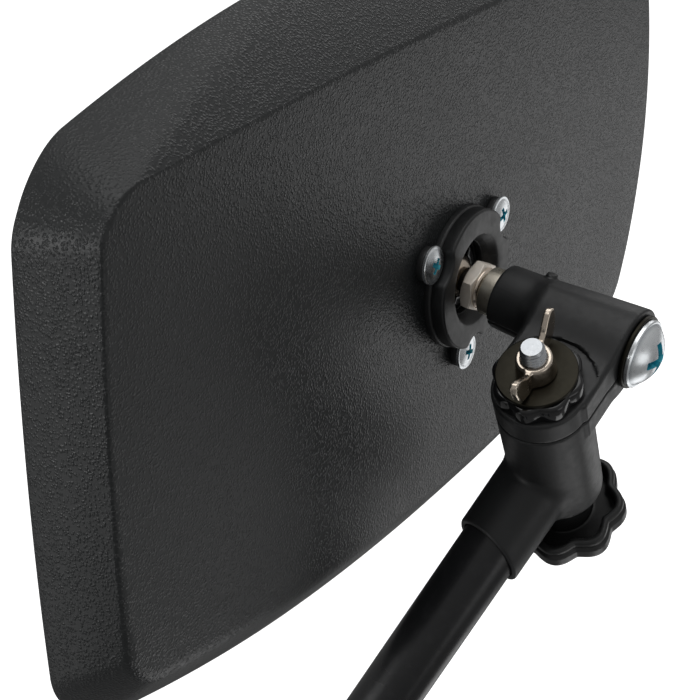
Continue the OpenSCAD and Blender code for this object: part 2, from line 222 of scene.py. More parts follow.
def normals2(loop):
    d = np.roll(loop, -1, 0) - np.roll(loop, 1, 0)
    d /= np.maximum(np.linalg.norm(d, axis=1, keepdims=True), 1e-9)
    return np.stack([d[:, 1], -d[:, 0]], 1)


def prism(loop, z0, z1, r0, r1, hole=None, hole_r=0.2, steps=4):
    """A counter-clockwise outline raised from z0 to z1 with rounded edges and an optional round hole."""
    loop = np.asarray(loop, float)
    nr = normals2(loop)
    rings = []

    def ring(pts, z):
        rings.append(np.column_stack([pts, np.full(len(pts), z)]))

    for t in np.linspace(0, math.pi / 2, steps + 1):
        ring(loop - nr * r0 * (1 - math.sin(t)), z0 + r0 * (1 - math.cos(t)))
    for t in np.linspace(0, math.pi / 2, steps + 1):
        ring(loop - nr * r1 * (1 - math.cos(t)), z1 - r1 * (1 - math.sin(t)))
    if hole is None:
        return strips(rings, cap_first=True, cap_last=True)
    a = np.arctan2(loop[:, 1], loop[:, 0])
    out = np.stack([np.cos(a), np.sin(a)], 1)
    for t in np.linspace(0, math.pi / 2, 3):
        ring(out * (hole + hole_r * (1 - math.sin(t))), z1 - hole_r * (1 - math.cos(t)))
    for t in np.linspace(math.pi / 2, 0, 3):
        ring(out * (hole + hole_r * (1 - math.sin(t))), z0 + hole_r * (1 - math.cos(t)))
    return strips(rings, wrap=True)


def lobes(r_tip, r_dip, count, n, sharp, phase=0.0):
    """A round outline with a wave of count lobes."""
    a = np.arange(n) / n * TAU
    c = 0.5 + 0.5 * np.cos(count * (a - phase))
    r = r_dip + (r_tip - r_dip) * c ** sharp
    return np.stack([r * np.cos(a), r * np.sin(a)], 1)


def hex_nut(af, h, n_side=14):
    """Solid hexagon with the usual turned chamfers on its corners."""
    a = np.arange(6 * n_side) / (6 * n_side) * TAU
    from_middle = (a + math.pi / 6) % (math.pi / 3) - math.pi / 6
    rad = af / 2 / np.cos(from_middle)
    dirs = np.stack([np.cos(a), np.sin(a)], 1)
    face_r, slope = af / 2 * 0.97, 0.58
    zs = np.linspace(0, 1, 7) * (af / 2 / math.cos(math.pi / 6) - face_r) * slope
    rings = []
    for z in (*zs, *(h - zs[::-1])):
        reach = face_r + min(z, h - z) / slope
        rings.append(np.column_stack([dirs * np.minimum(rad, reach)[:, None], np.full(len(rad), z)]))
    return strips(rings, cap_first=True, cap_last=True)


def thread(r, pitch, z0, z1, depth, per, taper_top=1.2, taper_bottom=0.6, n=64):
    """A rod with a real helical thread between z0 and z1, in per rings for each turn."""
    steps = int((z1 - z0) / pitch * per)
    a = np.arange(n) / n * TAU
    rings = []
    for k in range(steps + 1):
        z = z0 + (z1 - z0) * k / steps
        phase = (z / pitch - a / TAU) % 1.0
        groove = np.clip(np.abs(phase - 0.5) * 2 * 1.25 - 0.12, 0, 1)
        fade = min(1.0, (z1 - z) / taper_top) * min(1.0, (z - z0) / taper_bottom)
        point = max(0.0, 1 - (z1 - z) / taper_top)
        rr = r - depth * groove * (0.15 + 0.85 * fade) - point * 0.55
        rings.append(np.stack([rr * np.cos(a), rr * np.sin(a), np.full(n, z)], 1))
    return strips(rings, cap_first=True, cap_last=True)


# ---------------------------------------------------------------- implicit shapes
def smin(a, b, k):
    """Union with a soft blend of width k."""
    h = np.maximum(k - np.abs(a - b), 0) / k
    return np.minimum(a, b) - h * h * k / 4


def smax(a, b, k):
    return -smin(-a, -b, k)


def rmax(a, b, r):
    """Intersection with a circular fillet of radius r."""
    return np.minimum(np.maximum(a + r, b + r), 0) + np.hypot(np.maximum(a + r, 0), np.maximum(b + r, 0)) - r


def d_box(p, c, h, r):
    q = np.abs(p - np.array(c)) - (np.array(h) - r)
    return np.linalg.norm(np.maximum(q, 0), axis=-1) + np.minimum(q.max(-1), 0) - r


def d_cyl(p, a, b, rad, r=0.4):
    """Solid cylinder from a to b with its edges rounded to r; rad may be a pair of radii."""
    a, b = np.array(a, float), np.array(b, float)
    u = b - a
    length = np.linalg.norm(u)
    u = u / length
    w = p - a
    t = w @ u
    rho = np.sqrt(np.maximum((w * w).sum(-1) - t * t, 0))
    if np.isscalar(rad):
        side = rho - rad
    else:
        s = (rad[1] - rad[0]) / length
        side = (rho - (rad[0] + s * np.clip(t, -2, length + 2))) / math.sqrt(1 + s * s)
    ends = np.maximum(-t, t - length)
    return rmax(side, ends, r)


def d_polygon(x, y, pts):
    """Signed distance to a simple polygon."""
    pts = np.asarray(pts, float)
    d = np.full(x.shape, 1e18)
    inside = np.zeros(x.shape, bool)
    for i in range(len(pts)):
        a, b = pts[i], pts[(i + 1) % len(pts)]
        ex, ey = b - a
        wx, wy = x - a[0], y - a[1]
        t = np.clip((wx * ex + wy * ey) / (ex * ex + ey * ey), 0, 1)
        d = np.minimum(d, (wx - ex * t) ** 2 + (wy - ey * t) ** 2)
        cross = (a[1] > y) != (b[1] > y)
        if abs(ey) > 1e-12:
            xx = a[0] + ex * (y - a[1]) / ey
            inside ^= cross & (x < xx)
    d = np.sqrt(d)
    return np.where(inside, -d, d)


def surface(f, low, high, h):
    """Closed quad mesh of f = 0 by surface nets, with its points drawn onto the surface."""
    low, high = np.array(low, float), np.array(high, float)
    n = np.ceil((high - low) / h).astype(int) + 1
    ax = [low[i] + h * np.arange(n[i]) for i in range(3)]
    field = np.empty(n, np.float32)
    for i in range(0, n[0], 24):
        block = np.stack(np.meshgrid(ax[0][i:i + 24], ax[1], ax[2], indexing="ij"), -1)
        field[i:i + 24] = f(block)
    s = field < 0
    total = np.zeros(n - 1, np.int8)
    weight = np.zeros(n - 1, np.float32)
    centre = np.zeros((*(n - 1), 3), np.float32)
    for di in (0, 1):
        for dj in (0, 1):
            for dk in (0, 1):
                sl = (slice(di, n[0] - 1 + di), slice(dj, n[1] - 1 + dj), slice(dk, n[2] - 1 + dk))
                total += s[sl]
                w = 1 / (np.abs(field[sl]) + 0.02 * h)
                weight += w
                centre += w[..., None] * np.array([di, dj, dk], np.float32)
    mixed = (total > 0) & (total < 8)
    ids = np.full(n - 1, -1, np.int64)
    ids[mixed] = np.arange(mixed.sum())
    cell = np.argwhere(mixed)
    start = low + h * (cell + centre[mixed] / weight[mixed][:, None])
    v = start.copy()
    e = h * 0.05
    for _ in range(4):
        d0 = f(v)
        g = np.stack([(f(v + np.eye(3)[i] * e) - f(v - np.eye(3)[i] * e)) / (2 * e) for i in range(3)], -1)
        g2 = np.maximum((g * g).sum(-1), 0.05)
        v = v - 0.9 * (d0 / g2)[:, None] * g
        v = start + np.clip(v - start, -0.9 * h, 0.9 * h)
    faces = []
    for axis in range(3):
        o1, o2 = (axis + 1) % 3, (axis + 2) % 3
        a = [slice(None)] * 3
        b = [slice(None)] * 3
        a[axis], b[axis] = slice(0, -1), slice(1, None)
        change = s[tuple(a)] != s[tuple(b)]
        at = np.argwhere(change)
        at = at[(at[:, o1] > 0) & (at[:, o2] > 0) & (at[:, o1] < n[o1] - 1) & (at[:, o2] < n[o2] - 1)]
        inside = s[tuple(at.T)]
        quad = []
        for s1, s2 in ((1, 1), (0, 1), (0, 0), (1, 0)):
            c = at.copy()
            c[:, o1] -= s1
            c[:, o2] -= s2
            quad.append(ids[tuple(c.T)])
        q = np.stack(quad, 1)
        q[~inside] = q[~inside][:, ::-1]
        faces.append(q)
    return v, np.vstack(faces).tolist()


# ---------------------------------------------------------------- materials
def material(name):
    m = bpy.data.materials.new(name)
    m.use_nodes = True
    nt = m.node_tree
    for n in list(nt.nodes):
        nt.nodes.remove(n)
    out = nt.nodes.new("ShaderNodeOutputMaterial")
    bsdf = nt.nodes.new("ShaderNodeBsdfPrincipled")
    nt.links.new(bsdf.outputs[0], out.inputs[0])
    return m, nt, bsdf


def add(nt, kind, inputs=None, **props):
    n = nt.nodes.new(kind)
    for k, v in props.items():
        setattr(n, k, v)
    for k, v in (inputs or {}).items():
        if isinstance(v, bpy.types.NodeSocket):
            nt.links.new(v, n.inputs[k])
        else:
            n.inputs[k].default_value = v
    return n


def coords(nt):
    return add(nt, "ShaderNodeTexCoord").outputs["Object"]


def noise(nt, vec, scale, detail=3.0, rough=0.5, distortion=0.0):
    return add(nt, "ShaderNodeTexNoise", {"Vector": vec, "Scale": scale, "Detail": detail, "Roughness": rough,
                                          "Distortion": distortion}).outputs["Fac"]


def remap(nt, v, a, b, c, d, smooth=False):
    n = add(nt, "ShaderNodeMapRange", {"Value": v, "From Min": a, "From Max": b, "To Min": c, "To Max": d})
    if smooth:
        n.interpolation_type = "SMOOTHSTEP"
    return n.outputs["Result"]


def blend_colour(nt, fac, a, b):
    n = nt.nodes.new("ShaderNodeMix")
    n.data_type = "RGBA"
    for key, v in ((0, fac), (6, a), (7, b)):
        if isinstance(v, bpy.types.NodeSocket):
            nt.links.new(v, n.inputs[key])
        else:
            n.inputs[key].default_value = v if key == 0 else (*v, 1.0)
    return n.outputs[2]


def calc(nt, op, a, b=0.0):
    n = nt.nodes.new("ShaderNodeMath")
    n.operation = op
    for key, v in ((0, a), (1, b)):
        if isinstance(v, bpy.types.NodeSocket):
            nt.links.new(v, n.inputs[key])
        else:
            n.inputs[key].default_value = v
    return n.outputs[0]


def bump(nt, bsdf, height, strength, distance):
    n = add(nt, "ShaderNodeBump", {"Height": height, "Strength": strength, "Distance": distance})
    nt.links.new(n.outputs[0], bsdf.inputs["Normal"])


def mixed(nt, a, part_a, b, part_b):
    """The sum of two heights, each times its share."""
    return calc(nt, "ADD", calc(nt, "MULTIPLY", a, part_a), calc(nt, "MULTIPLY", b, part_b))


def colour(nt, bsdf, fac, a, b):
    nt.links.new(blend_colour(nt, fac, a, b), bsdf.inputs["Base Color"])


def roughness(nt, bsdf, *parts):
    """Sets the roughness to one value or to the sum of two."""
    nt.links.new(calc(nt, "ADD", *parts) if len(parts) == 2 else parts[0], bsdf.inputs["Roughness"])


def edge_wear(nt, patches, start, end, most):
    """Scuffs on convex edges, broken up by a noise."""
    edges = remap(nt, add(nt, "ShaderNodeNewGeometry").outputs["Pointiness"], 0.505, 0.56, 0.0, 1.0)
    return calc(nt, "MULTIPLY", edges, remap(nt, patches, start, end, 0.0, most))


def leather_plastic():
    """Black moulded plastic with a pebbled leather grain."""
    m, nt, b = material("leather_plastic")
    vec = coords(nt)
    warp = add(nt, "ShaderNodeTexNoise", {"Vector": vec, "Scale": 420.0, "Detail": 2.0}).outputs["Color"]
    shift = add(nt, "ShaderNodeVectorMath", {0: warp, 1: (0.5, 0.5, 0.5)}, operation="SUBTRACT").outputs[0]
    scaled = add(nt, "ShaderNodeVectorMath", {0: shift, "Scale": 0.0011}, operation="SCALE").outputs[0]
    pos = add(nt, "ShaderNodeVectorMath", {0: vec, 1: scaled}, operation="ADD").outputs[0]
    cells = add(nt, "ShaderNodeTexVoronoi", {"Vector": pos, "Scale": 1500.0}, feature="SMOOTH_F1")
    cells.inputs["Smoothness"].default_value = 0.35
    pebble = remap(nt, cells.outputs["Distance"], 0.05, 0.62, 1.0, 0.0, True)
    height = mixed(nt, pebble, remap(nt, noise(nt, vec, 240.0, 3.0, 0.55), 0.3, 0.7, 0.65, 1.0),
                   noise(nt, vec, 2600.0, 3.0, 0.6), 0.16)
    bump(nt, b, height, 0.60, 0.00024)
    patch = noise(nt, vec, 14.0, 3.0, 0.6)
    base = blend_colour(nt, remap(nt, patch, 0.35, 0.65, 0.0, 1.0),
                        (0.0068, 0.0082, 0.0088), (0.0100, 0.0118, 0.0124))
    colour(nt, b, edge_wear(nt, noise(nt, vec, 160.0), 0.45, 0.7, 0.5), base, (0.028, 0.030, 0.032))
    roughness(nt, b, remap(nt, pebble, 0.0, 1.0, 0.40, 0.27), remap(nt, patch, 0.3, 0.7, -0.03, 0.04))
    b.inputs["IOR"].default_value = 1.5
    b.inputs["Specular IOR Level"].default_value = 0.55
    return m


def satin_plastic(name, tone=(0.011, 0.0115, 0.012), rough=0.42, grain=0.10, spec=0.5):
    """Fine-textured moulded black plastic."""
    m, nt, b = material(name)
    vec = coords(nt)
    mid = noise(nt, vec, 600.0, 3.0, 0.5)
    flow = noise(nt, vec, 40.0, 3.0, 0.5, 0.4)
    bump(nt, b, mixed(nt, noise(nt, vec, 3800.0, 2.0, 0.6), 0.6, mid, 0.4), grain, 0.0002)
    base = blend_colour(nt, remap(nt, flow, 0.35, 0.7, 0.0, 1.0), tone, tuple(c * 1.7 for c in tone))
    colour(nt, b, edge_wear(nt, noise(nt, vec, 260.0, 4.0, 0.7), 0.5, 0.7, 0.6), base, (0.045, 0.046, 0.047))
    roughness(nt, b, remap(nt, mid, 0.3, 0.7, rough - 0.05, rough + 0.05), remap(nt, flow, 0.3, 0.7, -0.03, 0.05))
    b.inputs["Specular IOR Level"].default_value = spec
    return m


def metal(name, base, dark, rough, scale=900.0, amount=0.12, tint=None, spots=0.0, metallic=1.0):
    """Plated metal with fine tooling lines, patchy plating, optional dark spots and painted shade darkening its low
    places.
    """
    m, nt, b = material(name)
    vec = coords(nt)
    line = noise(nt, vec, scale, 4.0, 0.65)
    patch = noise(nt, vec, 130.0, 4.0, 0.6)
    bump(nt, b, mixed(nt, line, 0.7, patch, 0.3), amount, 0.00012)
    tint = tint or tuple(min(1.0, c * 1.08) for c in base)
    col = blend_colour(nt, remap(nt, patch, 0.35, 0.7, 0.0, 1.0), base, tint)
    # painted shade: concave low places, found by pointiness, are blended towards the dark colour
    low = remap(nt, add(nt, "ShaderNodeNewGeometry").outputs["Pointiness"], 0.46, 0.495, 0.75, 0.0)
    col = blend_colour(nt, low, col, dark)
    if spots:
        col = blend_colour(nt, remap(nt, noise(nt, vec, 900.0, 3.0, 0.7), 0.62, 0.75, 0.0, spots), col, dark)
    nt.links.new(col, b.inputs["Base Color"])
    b.inputs["Metallic"].default_value = metallic
    roughness(nt, b, remap(nt, line, 0.3, 0.7, rough - 0.05, rough + 0.07), remap(nt, patch, 0.3, 0.7, -0.03, 0.05))
    return m


def powder_coat(name, tone=(0.008, 0.0082, 0.009), rough=0.30):
    """Black paint with a faint orange peel."""
    m, nt, b = material(name)
    vec = coords(nt)
    peel = mixed(nt, noise(nt, vec, 700.0, 2.0, 0.5), 0.75, noise(nt, vec, 3000.0, 2.0, 0.6), 0.25)
    bump(nt, b, peel, 0.16, 0.00018)
    flow = noise(nt, vec, 30.0, 3.0, 0.5)
    base = blend_colour(nt, remap(nt, flow, 0.3, 0.7, 0.0, 1.0), tone, tuple(c * 1.5 for c in tone))
    colour(nt, b, edge_wear(nt, noise(nt, vec, 300.0, 4.0, 0.7), 0.5, 0.68, 0.7), base, (0.06, 0.06, 0.062))
    roughness(nt, b, remap(nt, flow, 0.3, 0.7, rough - 0.03, rough + 0.05))
    return m


def rubber(name, tone=(0.012, 0.012, 0.012)):
    """Dull rubber with a little dust."""
    m, nt, b = material(name)
    vec = coords(nt)
    bump(nt, b, noise(nt, vec, 2200.0, 3.0, 0.7), 0.25, 0.0002)
    dust = noise(nt, vec, 60.0, 4.0, 0.6)
    colour(nt, b, remap(nt, dust, 0.45, 0.75, 0.0, 1.0), tone, tuple(c * 2.4 for c in tone))
    roughness(nt, b, remap(nt, dust, 0.3, 0.7, 0.72, 0.86))
    b.inputs["Specular IOR Level"].default_value = 0.35
    return m


def acetal(name):
    """Off-white bearing plastic."""
    m, nt, b = material(name)
    vec = coords(nt)
    flow = noise(nt, vec, 50.0, 3.0, 0.5)
    colour(nt, b, remap(nt, flow, 0.3, 0.7, 0, 1), (0.62, 0.61, 0.56), (0.72, 0.71, 0.67))
    bump(nt, b, noise(nt, vec, 1500.0), 0.1, 0.0001)
    roughness(nt, b, remap(nt, flow, 0.3, 0.7, 0.38, 0.48))
    b.inputs["Subsurface Weight"].default_value = 0.05
    return m


def mirror_glass(name):
    """Silvered glass with faint smears and dust."""
    m, nt, b = material(name)
    vec = coords(nt)
    smear = noise(nt, vec, 18.0, 4.0, 0.6, 0.6)
    dust = remap(nt, noise(nt, vec, 1400.0, 2.0, 0.7), 0.66, 0.78, 0.0, 1.0)
    colour(nt, b, dust, (0.86, 0.89, 0.90), (0.66, 0.68, 0.69))
    b.inputs["Metallic"].default_value = 1.0
    roughness(nt, b, remap(nt, smear, 0.45, 0.75, 0.012, 0.05), calc(nt, "MULTIPLY", dust, 0.12))
    bump(nt, b, noise(nt, vec, 9.0, 1.0, 0.4), 0.03, 0.0004)
    return m


MAT = {
    "shell": leather_plastic(),
    "plastic": satin_plastic("satin_plastic"),
    "knuckle": satin_plastic("knuckle_plastic", (0.0115, 0.0120, 0.0125), 0.43, 0.09),
    "gloss": satin_plastic("gloss_plastic", (0.004, 0.004, 0.0045), 0.10, 0.03, 0.6),
    "knob": satin_plastic("knob_plastic", (0.0085, 0.0088, 0.009), 0.36, 0.10),
    "screw": metal("screw_zinc", (0.88, 0.91, 0.94), (0.30, 0.34, 0.38), 0.27, spots=0.15),
    "zinc": metal("zinc_plate", (0.74, 0.77, 0.80), (0.20, 0.23, 0.26), 0.20, spots=0.25),
    "rod": metal("rod_zinc", (0.52, 0.54, 0.56), (0.16, 0.18, 0.20), 0.26, amount=0.25, spots=0.3),
    "recess": metal("blue_passivate", (0.06, 0.52, 0.64), (0.01, 0.16, 0.24), 0.45, tint=(0.20, 0.70, 0.80)),
    "nickel": metal("nickel_plate", (0.70, 0.60, 0.50), (0.12, 0.09, 0.06), 0.19, tint=(0.76, 0.67, 0.57)),
    # painted highlight: a brighter, partly diffuse copy of the nickel plate, so the stud's hex facets show bright
    "hex_highlight_nickel": metal("hex_highlight_nickel", (0.97, 0.88, 0.77), (0.42, 0.35, 0.26), 0.46,
                          tint=(0.98, 0.92, 0.84), metallic=0.6),
    "brushed": metal("brushed_nickel", (0.60, 0.545, 0.45), (0.22, 0.19, 0.14), 0.30, scale=1600.0, amount=0.2,
                     tint=(0.70, 0.65, 0.56)),
    "dark_steel": metal("oiled_steel", (0.024, 0.0225, 0.0175), (0.006, 0.0055, 0.005), 0.38, amount=0.1,
                        tint=(0.034, 0.031, 0.024)),
    "tube": powder_coat("tube_paint", rough=0.27),
    "casting": powder_coat("casting_paint", (0.010, 0.0103, 0.011), 0.42),
    "rubber": rubber("pad_rubber"),
    "foam": rubber("foam_tape", (0.03, 0.03, 0.03)),
    "acetal": acetal("acetal"),
    "mirror": mirror_glass("silvered_glass"),
}


def adopt(ob, body, nodes):
    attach(ob, body)
    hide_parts(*nodes)


def piece(name, part, matrix, mat, body, nodes, slot, angle=40):
    ob = put(name, part[0], part[1], matrix, angle=angle)
    ob.data.materials.append(MAT[mat])
    adopt(ob, body, nodes)


def grown(name, field, low, high, steps, *rest):
    """A piece from an implicit shape; steps are the quick and the full mesh size, and only the full one is used."""
    piece(name, surface(field, low, high, steps[1]), *rest, 60)


# ---------------------------------------------------------------- the head
DEPTH = 21.0
WALL = 2.4
HALF = 123.5
BACK = dict(h0=54.5 * 0.93, h1=54.5 * 1.07, s=(13.8, 2.8, 2.2, 13.1), c=(-10.5, 8.4), a=HALF, corner=9.0)
RIM = dict(h0=65.5 * 0.93, h1=65.5 * 1.07, s=(13.8, 18.0, 2.2, 18.0), c=(-10.5, 0.0), a=HALF + 0.6, corner=15.0)


def d_outline(x, y, o):
    """Distance outside the rounded outline of four bowed edges."""
    x, y = x - o["c"][0], y - o["c"][1]
    a, h0, h1 = o["a"], o["h0"], o["h1"]
    corners = np.array([[a, -h1], [a, h1], [-a, h0], [-a, -h0]])
    edges = []
    for p, q, bow in zip(corners, np.roll(corners, -1, 0), o["s"]):
        chord = np.linalg.norm(q - p)
        r = (chord * chord / 4 + bow * bow) / 2 / bow
        out = np.array([q[1] - p[1], p[0] - q[0]]) / chord
        c = (p + q) / 2 + out * (bow - r)
        behind = (x - p[0]) * out[0] + (y - p[1]) * out[1]
        edges.append(np.minimum(np.hypot(x - c[0], y - c[1]) - r, behind))
    return rmax(np.maximum(edges[0], edges[2]), np.maximum(edges[1], edges[3]), o["corner"])


def outline_points(o, n=9000):
    """Counter-clockwise points of one outline, closely spaced."""
    th = np.arange(n) / n * TAU
    a, b = o["a"], (o["h0"] + o["h1"]) / 2 + 6
    ux, uy = a * np.cos(th), b * np.sin(th)
    lo, hi = np.full(n, 0.3), np.full(n, 1.6)
    for _ in range(46):
        m = (lo + hi) / 2
        d = d_outline(ux * m + o["c"][0], uy * m + o["c"][1], o)
        lo, hi = np.where(d < 0, m, lo), np.where(d < 0, hi, m)
    return np.stack([ux * m + o["c"][0], uy * m + o["c"][1]], 1)


def by_normal(points, angles):
    """The points of a convex outline whose normals have the given angles."""
    step = np.roll(points, -1, 0) - points
    turn = np.unwrap(np.arctan2(-step[:, 0], step[:, 1]))
    middle = (points + np.roll(points, -1, 0)) / 2
    turn = np.maximum.accumulate(turn) + np.arange(len(turn)) * 1e-9
    full = np.concatenate([turn - TAU, turn, turn + TAU])
    want = turn[0] + (angles - turn[0]) % TAU
    return np.stack([np.interp(want, full, np.tile(middle[:, i], 3)) for i in (0, 1)], 1)


def shared_angles(n=720):
    """Normal angles that space points well along the sides and round the corners of both outlines."""
    dense = np.arange(40000) / 40000 * TAU
    mid = (by_normal(BACK_PTS, dense) + by_normal(RIM_PTS, dense)) / 2
    run = np.linalg.norm(np.diff(mid, axis=0, append=mid[:1]), axis=1)
    share = run / run.sum() + 0.55 / len(dense)
    total = np.concatenate([[0], np.cumsum(share)])
    return np.interp(np.arange(n) / n * total[-1], total, np.append(dense, TAU))


BACK_PTS, RIM_PTS = outline_points(BACK), outline_points(RIM)
ANGLES = shared_angles()
NORMAL = np.stack([np.cos(ANGLES), np.sin(ANGLES)], 1)
BACK_LOOP, RIM_LOOP = by_normal(BACK_PTS, ANGLES), by_normal(RIM_PTS, ANGLES)


def head_loop(depth, inset):
    """The wall's outline at a depth below the back face, drawn in by inset."""
    t = depth / DEPTH
    return BACK_LOOP * (1 - t) + RIM_LOOP * t - NORMAL * inset


def flat(points, z):
    return np.column_stack([points, np.full(len(points), z)])


def shell_part():
    """Rolled lip, side wall, rounded crease and back face, with a hole for the socket."""
    rings = []
    n = len(BACK_LOOP)
    x, y = BACK_LOOP[:, 0] - BACK["c"][0], BACK_LOOP[:, 1] - BACK["c"][1]
    # the crease is tight at the left and top left, soft at the right and below
    soft = 1.2 + 1.6 * np.clip(x / HALF, 0, 1) ** 1.5 + 2.6 * np.clip(-y / 60, 0, 1) ** 1.5
    crease = flat(BACK_LOOP, 0.0)
    down = flat(RIM_LOOP, -DEPTH) - crease
    down /= np.linalg.norm(down, axis=1, keepdims=True)
    inner = crease - np.column_stack([NORMAL, np.zeros(n)]) * soft[:, None]
    outer = crease + down * soft[:, None]
    around = np.arctan2(inner[:, 1], inner[:, 0])
    hole = np.stack([np.cos(around), np.sin(around), np.zeros(n)], 1) * 12.15
    for t in np.linspace(0, 1, 5):
        rings.append(hole - [0, 0, WALL * (1 - t)])
    for t in np.linspace(0, 1, 10)[1:]:
        rings.append(hole * (1 - t) + inner * t)
    for t in np.linspace(0, 1, 9)[1:]:
        rings.append((1 - t) ** 2 * inner + 2 * t * (1 - t) * crease + t * t * outer)
    side = np.column_stack([NORMAL, np.zeros(n)])
    rim = flat(RIM_LOOP, -DEPTH)
    for t in np.linspace(0, 1, 12)[1:-1]:
        rings.append(outer * (1 - t) + (rim + [0, 0, 0.6]) * t + side * 0.5 * math.sin(math.pi * t))
    for a in np.linspace(0, math.pi, 11):
        rings.append(rim + [0, 0, 0.6 * (1 - math.sin(a))] - side * (1 - math.cos(a)) * WALL / 2)
    for t in np.linspace(0, 1, 6)[1:]:
        depth = DEPTH - t * (DEPTH - WALL)
        rings.append(flat(head_loop(depth, WALL + 0.3 * math.sin(math.pi * t)), -depth))
    last = rings[-1]
    for t in np.linspace(0, 1, 8)[1:-1]:
        rings.append(last * (1 - t) + (hole - [0, 0, WALL]) * t)
    return strips(rings, wrap=True)


piece("shell_skin", shell_part(), HEAD, "shell", "head", ["shell"], "shell", 60)


def bezel_part(outer_inset=3.0, lip=5.9):
    """The frame round the glass, with a rolled inner lip."""
    back, front = DEPTH - 3.0, DEPTH - 0.3
    out = head_loop(back, outer_inset)
    near = head_loop(front, outer_inset)
    opening = head_loop(back, outer_inset + lip)
    rings = [flat(out, -back), flat(near, -front + 0.5), flat(near - NORMAL * 0.15, -front + 0.15),
             flat(near - NORMAL * 0.5, -front), flat(opening + NORMAL * 2.2, -front),
             flat(opening + NORMAL * 1.2, -front + 0.25), flat(opening + NORMAL * 0.4, -front + 0.9),
             flat(opening, -front + 1.8), flat(opening, -back)]
    return strips(rings, wrap=True)


piece("bezel_trim", bezel_part(), HEAD, "plastic", "head", ["bezel"], "black_plastic", 50)


def pane(inset=3.6):
    """The glass, with its ground edge."""
    front, back = DEPTH - 3.1, DEPTH - 5.1
    loop = head_loop(back, inset)
    rings = [flat(loop - NORMAL * 0.4, -front), flat(loop, -front + 0.4), flat(loop, -back - 0.4),
             flat(loop - NORMAL * 0.4, -back)]
    return strips(rings, cap_first=True, cap_last=True)


piece("mirror_pane", pane(), HEAD, "mirror", "head", ["glass"], "mirror_glass", 30)

# ---------------------------------------------------------------- flange and ball socket
SCREWS = [math.radians(33 + 120 * i) for i in range(3)]
RING_R = 20.9


def by_angle(field, low, high, n):
    """Points of an outline round the centre, one for each of n directions."""
    a = np.arange(n) / n * TAU
    ux, uy = np.cos(a), np.sin(a)
    lo, hi = np.full(n, low), np.full(n, high)
    for _ in range(40):
        m = (lo + hi) / 2
        d = field(ux * m, uy * m, m)
        lo, hi = np.where(d < 0, m, lo), np.where(d < 0, hi, m)
    m = (lo + hi) / 2
    return np.stack([ux * m, uy * m], 1)


def from_screws(x, y):
    return [np.hypot(x - RING_R * math.cos(s), y - RING_R * math.sin(s)) for s in SCREWS]


def flange_field(x, y, m):
    """Disc with three round lugs, softly joined."""
    d = m - 18.35
    for far in from_screws(x, y):
        d = smin(d, far - 4.35, 1.2)
    return d


def ring_field(x, y, m):
    """Disc with three round bites for the screw heads."""
    d = m - 18.0
    for far in from_screws(x, y):
        d = smax(d, 5.35 - far, 0.8)
    return d


base = prism(by_angle(flange_field, 10.0, 32.0, 360), 0.0, 1.8, 0.1, 0.7, hole=9.4, hole_r=0.3)
skirt = lathe(rounded([(12.0, -0.2), (12.0, -9.0), (9.2, -9.0), (9.2, -0.2), (12.0, -0.2)], 0.2)[:-1], 96)
piece("flange_base", joined(base, skirt), HEAD, "plastic", "head", ["socket_base"], "black_plastic", 45)


def ring_part():
    """The upper disc, with a dished opening."""
    loop = by_angle(ring_field, 11.5, 20.0, 480)
    nr = normals2(loop)
    a = np.arctan2(loop[:, 1], loop[:, 0])
    u = np.stack([np.cos(a), np.sin(a)], 1)
    rings = []

    def z(points, h):
        rings.append(flat(points, h))

    z(loop - nr * 0.1, 1.82)
    z(loop, 1.95)
    for t in np.linspace(0, math.pi / 2, 6):
        z(loop - nr * 0.7 * (1 - math.cos(t)), 5.2 - 0.7 * (1 - math.sin(t)))
    z(loop * 0.4 + u * 12.6 * 0.6 - nr * 0.3, 5.2)
    for r, h in rounded([(12.9, 5.2), (11.7, 5.05), (10.4, 3.2), (9.6, 1.82)], 0.9, 5):
        z(u * r, h)
    return strips(rings, wrap=True)


piece("flange_ring", ring_part(), HEAD, "plastic", "head", ["retainer_ring"], "black_plastic", 40)


def cross_cutter(size, depth, z, broad=1.0):
    """A tapered cross with a pointed foot, as the driver leaves it."""
    parts = []
    for turn in (0, 90):
        w0, w1 = size / 2, size * 0.16
        b0, b1 = size * 0.115 * broad, size * 0.075 * broad
        top, foot = z + 1.0, z - depth
        v = [(x * w0 * 1.12, y * b0 * 1.1, top) for x, y in ((-1, -1), (1, -1), (1, 1), (-1, 1))]
        v += [(x * w1, y * b1, foot) for x, y in ((-1, -1), (1, -1), (1, 1), (-1, 1))]
        f = [[0, 3, 2, 1], [4, 5, 6, 7], [0, 1, 5, 4], [1, 2, 6, 5], [2, 3, 7, 6], [3, 0, 4, 7]]
        parts.append(moved((np.array(v), f), turned("Z", turn)))
    return parts


def carve(ob, cutters, matrix):
    """Boolean-subtract the cutters and bake the result; the cut walls take the recess material."""
    ob.data.materials.append(MAT["screw"])
    for i, c in enumerate(cutters):
        tool = put(f"tool{i}", c[0], c[1], matrix, smooth=False)
        tool.data.materials.append(MAT["recess"])
        mod = ob.modifiers.new("cut", "BOOLEAN")
        mod.operation = "DIFFERENCE"
        mod.solver = "EXACT"
        mod.material_mode = "TRANSFER"
        mod.object = tool
        dg = bpy.context.evaluated_depsgraph_get()
        me = bpy.data.meshes.new_from_object(ob.evaluated_get(dg))
        ob.modifiers.clear()
        old = ob.data
        ob.data = me
        bpy.data.meshes.remove(old)
        bpy.data.objects.remove(tool)
    ob.data.polygons.foreach_set("use_smooth", [True] * len(ob.data.polygons))
    ob.data.set_sharp_from_angle(angle=math.radians(28))


